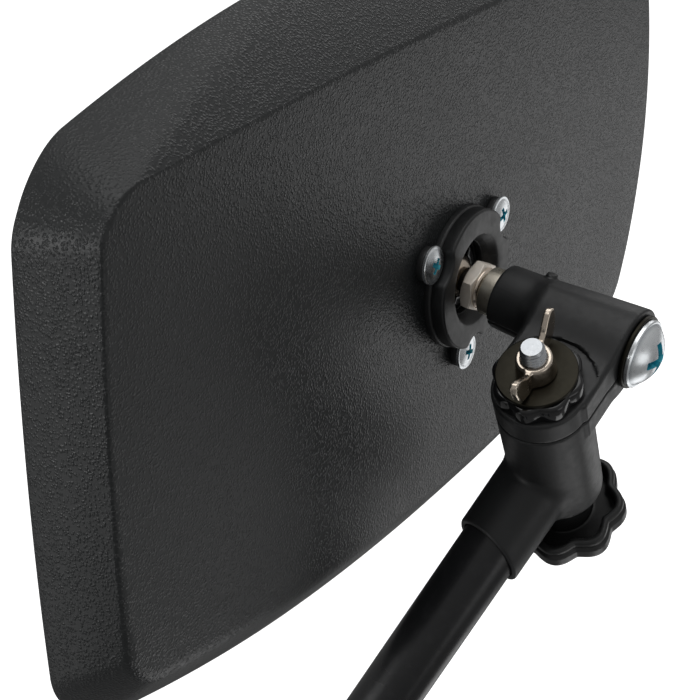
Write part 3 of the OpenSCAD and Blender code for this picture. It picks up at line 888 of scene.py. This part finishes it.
def pan_head(r, rim, h, shank_r, shank_l):
    """Domed head with a rim land, and the shank under it; z up out of the seat."""
    dome_r = 0.92 * r
    ball_r = (dome_r * dome_r + (h - rim) ** 2) / 2 / (h - rim)
    prof = [(0.0, h)]
    for t in np.linspace(0.08, 1, 14):
        rr = dome_r * t
        prof.append((rr, h - ball_r + math.sqrt(ball_r * ball_r - rr * rr)))
    prof += [(r * 0.965, rim + 0.02), (r, rim - 0.028 * r), (r, 0.15), (r - 0.15, 0.0),
             (shank_r, 0.0), (shank_r, -shank_l), (0.0, -shank_l)]
    return lathe(prof, 96)


for i, s in enumerate(SCREWS):
    centre = turned("Z", 0, (RING_R * math.cos(s), RING_R * math.sin(s), 1.8))
    spin = turned("Z", (20, 62, -14)[i])
    ob = put(f"flange_screw_{i + 1}", *moved(pan_head(4.8, 0.85, 1.65, 2.4, 12.6), centre), HEAD)
    carve(ob, [moved(c, centre @ spin) for c in cross_cutter(5.8, 1.2, 1.6)], HEAD)
    adopt(ob, "head", ["flange_screws"])

# slotted liner round the ball, inside the socket
liner_m = frame_of(BALL, (1, 0, 0), (0, -1, 0))


def liner_field(p):
    """Round cage with six slots that leave spring fingers."""
    x, y, z = p[..., 0], p[..., 1], p[..., 2]
    d = rmax(np.abs(np.linalg.norm(p, axis=-1) - 7.7) - 1.1, np.maximum(z - 4.0, -5.6 - z), 0.35)
    a = (np.arctan2(y, x) + math.pi / 6) % (math.pi / 3) - math.pi / 6
    r = np.hypot(x, y)
    slot = np.maximum(np.maximum(np.abs(r * np.sin(a)) - 0.75, 1.0 - r), -0.4 - z)
    return smax(d, -slot, 0.3)


grown("ball_liner", liner_field, (-9.6, -9.6, -6.6), (9.6, 9.6, 5.0), (0.5, 0.3),
      liner_m, "gloss", "liner", ["socket_liner"], "gloss_black")

# ---------------------------------------------------------------- stud, ring, end screw
def on_arm(part, x=0.0, turn=0.0):
    """A part built with z up, laid along the arm from x."""
    m = np.eye(4)
    m[:3, :3] = np.array([[0, 0, 1], [1, 0, 0], [0, 1, 0]], float)
    m[0, 3] = x
    return moved(moved(part, turned("Z", turn)), m)


BALL_R, NECK_R = 6.45, 3.35
angles = np.linspace(math.pi, math.asin(3.4 / BALL_R), 40)
ball = [(0.0, -BALL_R)] + [(BALL_R * math.sin(t), BALL_R * math.cos(t)) for t in angles[1:]]
neck = [(NECK_R, 6.0), (NECK_R, 11.0), (0.0, 11.0)]
collar = rounded([(0, 10.9), (5.4, 10.9), (5.3, 11.4), (4.7, 12.2), (4.15, 12.6), (4.15, 17.2), (0, 17.2)], 0.25)
shank = rounded([(0, 17.1), (5.9, 17.1), (5.98, 17.3), (5.98, 47.3), (0, 47.3)], 0.2)
stud = joined(lathe(ball + neck, 96), lathe(collar, 96), lathe(shank, 96))
piece("ball_stud_metal", on_arm(stud, 0.0, 35), KNUCKLE, "nickel", "stud", ["ball_stud"], "nickel", 35)
# the hex takes the painted-highlight copy of the nickel plate
piece("stud_hex", on_arm(hex_nut(12.0, 3.3), 7.8, 35), KNUCKLE, "hex_highlight_nickel", "stud", ["ball_stud"], "nickel", 35)
ring = rounded([(4.25, 12.6), (5.9, 12.6), (6.2, 12.9), (6.2, 16.3), (5.95, 16.6), (4.25, 16.6), (4.25, 12.6)], 0.25)
piece("stud_ring", on_arm(lathe(ring[:-1], 128)), KNUCKLE, "brushed", "stud", ["spacer_ring"], "nickel", 35)

HEAD_X = 55.1
ob = put("end_screw_head", *on_arm(pan_head(8.5, 1.2, 5.1, 3.95, 20.5), HEAD_X), KNUCKLE)
carve(ob, [on_arm(c, HEAD_X, 64) for c in cross_cutter(12.6, 3.0, 5.1, 0.8)], KNUCKLE)
adopt(ob, "stud", ["end_screw"])
wash = lathe(rounded([(4.2, 0), (9.2, 0), (9.2, 0.95), (4.2, 0.95), (4.2, 0)], 0.25)[:-1], 96)
piece("end_screw_washer", on_arm(wash, 54.12), KNUCKLE, "dark_steel", "stud", ["end_washer"], "dark_washer")

# ---------------------------------------------------------------- knuckle
BX, BY = float(BOLT_K[0]), float(BOLT_K[1])
HEADING = math.atan2(DOWN_K[1], DOWN_K[0])
SIDE = np.array([math.cos(HEADING), math.sin(HEADING), 0.0])


def arm_field(p):
    """The round arm along the stud, which widens towards the end screw."""
    x, y, z = p[..., 0], p[..., 1], p[..., 2]
    rad = np.interp(x, [12, 16.8, 24, 32, 42, 50, 54, 60], [8.15, 8.2, 8.45, 8.95, 9.7, 10.2, 10.4, 10.5])
    side = np.hypot(y, z) - rad
    return rmax(side, np.maximum(16.8 - x, x - 54.0), 0.7)


def web_field(p, top, low):
    """The flat web between the arm and the barrel; top is its height at each of them."""
    x, y, z = p[..., 0], p[..., 1], p[..., 2]
    right = x - 53.8
    left = (29.5 + 0.04 * y) - x
    ends = np.maximum(y - 2.0, BY - y)
    plan = rmax(rmax(right, left, 0.6), ends, 0.6)
    t = np.clip(-y / 22.7, 0, 1)
    zt = top[0] * (1 - t) + top[1] * t
    return rmax(plan, np.maximum(z - zt, low - z), 1.6)


def bores(p):
    x, y, z = p[..., 0], p[..., 1], p[..., 2]
    rod = np.maximum(np.hypot(y, z) - 6.15, x - 48.0)
    screw = np.maximum(np.hypot(y, z) - 4.4, 40 - x)
    bolt = np.hypot(x - BX, y - BY) - 3.25
    return np.minimum(np.minimum(rod, screw), bolt)


BARREL_R = 11.4
SEAM_GAP = 0.2


def end_face(p):
    return p[..., 0] - 53.9


def upper_field(p):
    z = p[..., 2]
    a = arm_field(p)
    w = web_field(p, (8.6, 6.9), -9)
    barrel = d_cyl(p, (BX, BY, -8), (BX, BY, 7.15), BARREL_R, 0.7)
    d = smin(rmax(smin(a, w, 4.5), end_face(p), 0.8), barrel, 1.0)
    d = np.maximum(d, z - np.where(np.hypot(p[..., 0] - BX, p[..., 1] - BY) < 13.5, 7.15, 99))
    nub = d_cyl(p, (27.4, 6.3, 5.0), (27.4, 7.3, 6.4), 1.5, 0.4)
    d = smin(d, nub, 0.6)
    d = smax(d, -bores(p), 0.5)
    return smax(d, SEAM_GAP - z, 0.45)


def lower_field(p):
    x, y, z = p[..., 0], p[..., 1], p[..., 2]
    w = web_field(p, (9, 9), -7.2)
    a = rmax(smin(arm_field(p), w, 4.0), -7.25 - z, 0.8)
    barrel = d_cyl(p, (BX, BY, -36.5), (BX, BY, 6), BARREL_R, 0.5)
    side = np.array(p) - ELBOW_K
    t = side @ DOWN_K
    rho = np.sqrt(np.maximum((side * side).sum(-1) - t * t, 0))
    mouth = (x - BX) * SIDE[0] + (y - BY) * SIDE[1] - 25.6
    socket = rmax(np.maximum(rho - 9.6, -t), mouth, 0.7)
    d = smin(rmax(a, end_face(p), 0.8), barrel, 1.0)
    d = smin(d, socket, 1.6)
    scoop = np.maximum(np.hypot(x - BX, y - BY) - 9.2, z + 36.5)
    d = smax(d, -scoop, 0.4)
    tube_bore = np.maximum(rho - 8.12, 11.5 - t)
    d = smax(d, -tube_bore, 0.5)
    d = smax(d, -bores(p), 0.5)
    return smax(d, z + SEAM_GAP, 0.45)


step = 0.42
v, f = surface(upper_field, (15, -36, -1), (56, 13, 13), step)
piece("knuckle_upper", (v, f), KNUCKLE, "knuckle", "arm", ["upper_body"], "black_plastic", 60)
v, f = surface(lower_field, (15, -62, -54), (56, 13, 1.5), step)
piece("knuckle_lower", (v, f), KNUCKLE, "knuckle", "arm", ["lower_body"], "black_plastic", 60)

# lobed spacer, washer, wing nut, bolt, knob
sp = prism(lobes(10.9, 9.8, 8, 240, 0.6, 0.2), 7.3, 12.15, 0.5, 1.0, hole=3.3)
piece("spacer_lobed", sp, ON_BOLT, "gloss", "arm", ["lobed_spacer"], "gloss_black", 50)
fw = lathe(rounded([(3.3, 12.22), (9.6, 12.22), (9.6, 13.38), (3.3, 13.38), (3.3, 12.22)], 0.28)[:-1], 128)
piece("washer_flat", fw, ON_BOLT, "dark_steel", "arm", ["flat_washer"], "dark_washer")

WING = [(2.5, 0.3), (7.0, 0.5), (9.7, 1.8), (11.2, 4.2), (11.8, 7.2), (11.6, 9.2), (10.7, 9.8), (9.4, 9.4), (7.9, 7.9),
        (6.4, 6.3), (4.9, 5.4), (2.5, 5.2)]  # (distance from the axis, height)
WING_TURN = math.radians(103)


def wing_field(p):
    c, s = math.cos(WING_TURN), math.sin(WING_TURN)
    x = p[..., 0] * c + p[..., 1] * s
    y = -p[..., 0] * s + p[..., 1] * c
    z = p[..., 2] - 13.5
    q = np.stack([x, y, z], -1)
    hub = d_cyl(q, (0, 0, 0), (0, 0, 5.5), (4.85, 4.25), 0.5)
    blade = d_polygon(np.abs(x), z, WING)
    lean = 0.025 * np.maximum(np.abs(x) - 4.0, 0) ** 1.7 * np.sign(x)
    wings = rmax(blade, np.abs(y + lean) - 0.8, 0.3)
    d = smin(hub, wings, 0.9)
    d = np.maximum(d, -z)
    return smax(d, 3.08 - np.hypot(x, y), 0.3)


grown("wing_nut_body", wing_field, (-14.5, -14.5, 13), (14.5, 14.5, 27), (0.5, 0.26),
      ON_BOLT, "nickel", "wing", ["wing_nut"], "nickel")

KNOB_TOP, KNOB_LOW = -45.0, -53.0
plain = lathe([(0, -50.5), (2.95, -50.5), (2.95, 12.1), (0, 12.1)], 64)
rod = joined(thread(3.0, 1.0, 12.0, 23.1, depth=0.42, per=10), plain)
piece("clamp_rod", rod, ON_BOLT, "rod", "knob", ["clamp_bolt"], "zinc", 30)


def knob_field(p):
    x, y, z = p[..., 0], p[..., 1], p[..., 2]
    rho = np.hypot(x, y)
    a = np.arctan2(y, x)
    c = np.cos(8 * (a - math.radians(22.5)))
    rim = 14.7 + 1.9 * (0.5 + 0.5 * c) ** 0.7
    side = (rho - rim) * 0.92
    groove = 0.55 * np.exp(-((z - (KNOB_TOP - 2.4)) / 0.42) ** 2)
    step_in = 0.5 / (1 + np.exp(-(z - (KNOB_TOP - 2.4)) / 0.25))
    side = side + groove + step_in
    body = rmax(side, KNOB_LOW - z, 2.2)
    body = rmax(body, z - KNOB_TOP, 0.8)
    recess = rmax(rmax(rho - (rim - 2.6), KNOB_TOP - 4.5 - z, 0.8), 7.4 - rho, 0.5)
    d = smax(body, -recess, 0.6)
    neck = d_cyl(p, (0, 0, KNOB_TOP - 6), (0, 0, -36.8), (7.6, 7.2), 0.5)
    d = smin(d, neck, 0.9)
    dimple = d_cyl(p, (0, 0, KNOB_LOW - 3), (0, 0, KNOB_LOW + 1.2), (8.2, 7.4), 0.3)
    d = smax(d, -dimple, 0.5)
    return smax(d, 2.9 - rho + np.where(z < KNOB_LOW + 3, -9, 0), 0.2)


grown("knob_star", knob_field, (-18, -18, -55), (18, 18, -35.5), (0.8, 0.4),
      ON_BOLT, "knob", "knob", ["star_knob"], "black_plastic")

# ---------------------------------------------------------------- tube
t0, t1 = 14.0, 201.5
tube = lathe(rounded([(6.6, t0), (7.98, t0), (7.98, t1), (6.6, t1), (6.6, t0)], 0.25)[:-1], 160)
piece("tube_painted", tube, TUBE, "tube", "arm", ["tube"], "black_tube", 40)
plug = lathe(rounded([(0, t1 - 11.5), (6.4, t1 - 11.5), (6.5, t1 - 10), (6.5, t1), (8.0, t1), (8.0, t1 + 1.9),
                      (6.9, t1 + 2.5), (0, t1 + 2.5)], 0.5), 96)
piece("tube_end_plug", plug, TUBE, "plastic", "arm", ["tube_plug"], "black_plastic")

# ---------------------------------------------------------------- vehicle clamp
PAD_H, GAP, JAW_T, PAD_T = 22.0, 26.0, 5.0, 3.0
boss_c = BOSS * 1e3
lock_axis = unit(JOINTS["lock_turn"]["axis"])
NUT_Y = -GAP - PAD_T - JAW_T - 4.0
TOP_Z = PAD_H / 2 + 6
BRIDGE = 11.0


def clamp_field(p):
    """The C frame, its post and the boss for the tube, with the bores."""
    leg = (9, 4.5, (PAD_H + 8 + BRIDGE) / 2)
    legs = np.minimum(d_box(p, (0, PAD_T + 4.5, 6.5), leg, 1.6), d_box(p, (0, NUT_Y - 4.5, 6.5), leg, 1.6))
    ym = (NUT_Y - 9 + PAD_T + 9) / 2
    bridge = d_box(p, (0, ym, TOP_Z + BRIDGE / 2), (9, (PAD_T + 9 - NUT_Y + 9) / 2, BRIDGE / 2), 1.6)
    d = smin(legs, bridge, 3.0)
    top = TOP_Z + BRIDGE
    post = d_cyl(p, (0, boss_c[1], top - 2), (0, boss_c[1], boss_c[2]), 6.5, 0.3)
    foot = d_cyl(p, (0, boss_c[1], top - 2), (0, boss_c[1], top + 3), 8.5, 1.0)
    elbow = np.linalg.norm(p - np.array([0, boss_c[1], boss_c[2]]), axis=-1) - 6.5
    arm = d_cyl(p, (boss_c[0], boss_c[1], boss_c[2]), (0, boss_c[1], boss_c[2]), 6.5, 0.3)
    d = smin(d, foot, 1.5)
    d = smin(d, post, 2.0)
    d = np.minimum(d, np.minimum(elbow, arm))
    boss = d_cyl(p, boss_c - DOWN * 12, boss_c + DOWN * 12, 14.0, 0.9)
    pad = d_cyl(p, boss_c, boss_c + lock_axis * 17, 6.0, 0.6)
    d = smin(d, boss, 1.6)
    d = smin(d, pad, 1.2)
    w = p - boss_c
    t = w @ DOWN
    rho = np.sqrt(np.maximum((w * w).sum(-1) - t * t, 0))
    d = smax(d, 10.06 - rho, 0.5)
    d = np.maximum(d, -np.maximum(rho - 12.4, np.maximum(-15.0 - t, t + 12.0)))
    u = w @ lock_axis
    rho2 = np.sqrt(np.maximum((w * w).sum(-1) - u * u, 0))
    d = smax(d, -np.maximum(rho2 - 3.1, -u), 0.3)
    screw = np.maximum(np.hypot(p[..., 0], p[..., 2]) - 4.08, p[..., 1] + 30)
    return smax(d, -screw, 0.3)


grown("clamp_casting", clamp_field, (-49, -58, -18), (13, 15, 68), (1.2, 0.62),
      ROW, "casting", "clamp", ["clamp_frame"], "black_casting")


def bush_part():
    """A collared sleeve with a narrow split."""
    prof = rounded([(8.06, -14.2), (12.0, -14.2), (12.0, -12.2), (9.98, -12.2), (9.98, 12.0), (8.06, 12.0),
                    (8.06, -14.2)], 0.3)[:-1]
    sections = []
    for t in np.linspace(0.085, TAU - 0.085, 120):
        sections.append(np.stack([prof[:, 0] * math.cos(t), prof[:, 0] * math.sin(t), prof[:, 1]], 1))
    return strips(sections, cap_first=True, cap_last=True)


piece("bush_sleeve", bush_part(), IN_BOSS, "acetal", "bush", ["tube_bush"], "bush", 40)

lock_m = frame_of(BOSS, DOWN, lock_axis)


knurled = prism(lobes(8.0, 7.45, 30, 180, 0.7), 21.0, 28.0, 0.6, 0.8)
screw = thread(3.0, 1.0, 10.4, 21.2, depth=0.35, per=8, taper_top=0.2)
piece("lock_screw_body", joined(knurled, screw), lock_m, "zinc", "lock", ["lock_screw"], "zinc", 35)


def ribbed_pad(y0, y1, sign):
    """Rubber pad whose working face has level ribs."""
    n = 9
    half = PAD_H / 2
    face, other = (y0, y1) if sign < 0 else (y1, y0)
    w = (PAD_H - 1.4) / n
    pts = []
    for k in range(n):
        a = -half + 0.7 + w * k
        pts += [(a + 0.02 * w, 0.55), (a + 0.16 * w, 0.0), (a + 0.66 * w, 0.0), (a + 0.80 * w, 0.55)]
    prof = [(-half, 0.3)] + pts + [(half, 0.3)]
    prof = rounded(prof, 0.25, 3)
    outline = [(z, face - sign * d) for z, d in prof]
    outline += [(half, other), (-half, other)]
    outline = np.array(outline)
    rings = []
    for x, k in ((-7.5, 0.35), (-7.3, 0.1), (-7.0, 0.0), (7.0, 0.0), (7.3, 0.1), (7.5, 0.35)):
        q = outline.copy()
        c = q.mean(0)
        q = q - np.sign(q - [0, (face + other) / 2]) * k * 0.6
        rings.append(np.column_stack([np.full(len(q), x), q[:, 1], q[:, 0]]))
    return strips(rings, cap_first=True, cap_last=True)


piece("pad_fixed", ribbed_pad(0.0, PAD_T, -1), ROW, "rubber", "clamp", ["fixed_pad"], "rubber", 35)
piece("pad_moving", ribbed_pad(-GAP - PAD_T, -GAP, 1), ROW, "rubber", "jaw", ["moving_pad"], "rubber", 35)


def jaw_field(p):
    y0 = -GAP - PAD_T - JAW_T
    plate = d_box(p, (0, y0 + JAW_T / 2, 0), (8.5, JAW_T / 2, 11), 1.0)
    socket = np.maximum(np.hypot(p[..., 0], p[..., 2]) - 4.1, p[..., 1] - (y0 + 3))
    return smax(plate, -socket, 0.3)


grown("jaw_plate", jaw_field, (-10, -36, -12.5), (10, -27, 12.5), (0.8, 0.45),
      ROW, "casting", "jaw", ["moving_jaw"], "black_casting")

TIP = -GAP - PAD_T - JAW_T + 2.8
spin_m = frame_of((0, TIP * 1e-3, 0), (1, 0, 0), (0, 1, 0))
spindle = thread(4.0, 1.5, -51.0, 0.0, depth=0.62, per=9, taper_top=1.6)
piece("spindle_rod", spindle, spin_m, "zinc", "spindle", ["clamp_screw"], "zinc", 30)


def spindle_knob_field(p):
    x, y, z = p[..., 0], p[..., 1], p[..., 2]
    rho = np.hypot(x, y)
    a = np.arctan2(y, x)
    rim = 13.9 + 1.1 * np.cos(7 * a)
    z0, z1 = -55.0, -43.0
    body = rmax(rmax((rho - rim) * 0.94, z0 - z, 2.6), z - z1, 1.6)
    ring = rmax(np.maximum(rho - 10.5, 9.0 - rho), z - (z0 + 0.9), 0.3)
    d = smax(body, -ring, 0.5)
    return smax(d, np.where(z > z0 + 4.2, 3.95 - rho, -9), 0.2)


grown("spindle_grip", spindle_knob_field, (-16.5, -16.5, -57), (16.5, 16.5, -41), (0.9, 0.45),
      spin_m, "knob", "spindle", ["spindle_knob"], "black_plastic")

# hidden CAD nodes keep their shapes and get full materials
for node, mat in {"glass_pad": "foam", "glass_carrier": "plastic", "backing_plate": "zinc", "socket_cup": "plastic",
                  "flange_nuts": "zinc"}.items():
    ob = frame["nodes"][node]
    ob.data.materials.clear()
    ob.data.materials.append(MAT[mat])

# ---------------------------------------------------------------- floor, lights, camera
scene = bpy.context.scene
floor_z = CAD_LOW.z - 0.012


def floor_part(n=24, sides=96):
    """A wide disc."""
    a = np.arange(sides) / sides * TAU
    circle = np.stack([np.cos(a), np.sin(a)], 1)
    return strips([flat(circle * 6000.0 * (k / n) ** 2, 0.0) for k in range(1, n + 1)], cap_first=True)


fm = np.diag([1e-3, 1e-3, 1e-3, 1.0])
fm[:3, 3] = (0, 0, floor_z)
floor = put("floor", *floor_part(), fm)
m, nt, b = material("floor_paper")
vec = coords(nt)
colour(nt, b, remap(nt, noise(nt, vec, 6.0), 0.3, 0.7, 0, 1), (0.93, 0.93, 0.93), (0.95, 0.95, 0.95))
b.inputs["Roughness"].default_value = 0.9
b.inputs["Specular IOR Level"].default_value = 0.0
b.inputs["Emission Color"].default_value = (1, 1, 1, 1)
b.inputs["Emission Strength"].default_value = 0.78
bump(nt, b, noise(nt, vec, 900.0), 0.02, 0.0002)
floor.data.materials.append(m)
floor.visible_glossy = floor.visible_diffuse = floor.visible_shadow = False

world = bpy.data.worlds.new("studio")
scene.world = world
world.use_nodes = True
wn = world.node_tree
sky = wn.nodes["Background"]
height_z = add(wn, "ShaderNodeSeparateXYZ", {0: add(wn, "ShaderNodeTexCoord").outputs["Generated"]}).outputs[2]
level = remap(wn, height_z, -0.5, 0.9, 0.16, 0.42)
seen = add(wn, "ShaderNodeLightPath").outputs["Is Camera Ray"]
wn.links.new(calc(wn, "MAXIMUM", level, seen), sky.inputs["Strength"])
sky.inputs["Color"].default_value = (1, 1, 1, 1)


def softbox(name, direction, distance, size, radiance):
    """A rectangular light aimed at the flange from a direction."""
    lamp = bpy.data.lights.new(name, "AREA")
    lamp.shape = "RECTANGLE"
    lamp.size, lamp.size_y = size
    lamp.energy = radiance * math.pi * size[0] * size[1]
    o = bpy.data.objects.new(name, lamp)
    scene.collection.objects.link(o)
    o.location = Vector(FLANGE) + Vector(direction).normalized() * distance
    o.rotation_mode = "QUATERNION"
    o.rotation_quaternion = (Vector(FLANGE) - o.location).to_track_quat("-Z", "Y")


softbox("right_panel", (0.84, -0.36, -0.40), 1.3, (0.70, 0.80), 0.85)
softbox("front_panel", (-0.20, -0.95, -0.25), 1.3, (0.70, 0.60), 0.8)
softbox("low_panel", (0.45, -0.30, -1.00), 1.1, (0.6, 0.45), 1.0)
softbox("left_panel", (-0.76, 0.53, -0.52), 1.2, (0.6, 0.5), 0.8)
softbox("left_high", (-0.84, 0.53, 0.06), 1.3, (0.6, 0.24), 6.0)
softbox("far_top", (0.84, 0.22, 0.45), 1.3, (0.8, 0.4), 1.0)
softbox("overhead", (-0.10, 0.05, 1.0), 1.4, (1.1, 1.5), 1.15)

cam_data = bpy.data.cameras.new("camera")
cam = bpy.data.objects.new("camera", cam_data)
scene.collection.objects.link(cam)
scene.camera = cam
fwd = unit((0.77634, 0.46826, -0.42193))
right = unit((0.51936, -0.85453, 0.00724))
up = np.cross(right, fwd)
cm = np.eye(4)
cm[:3, 0], cm[:3, 1], cm[:3, 2] = right, up, -fwd
cm[:3, 3] = FLANGE + np.array((-0.3214, -0.1619, 0.1460))
cam.matrix_world = Matrix(cm.tolist())
cam_data.lens = 78.87
cam_data.sensor_width = 36.0
cam_data.clip_start, cam_data.clip_end = 0.01, 30
scene.view_settings.view_transform = "Standard"
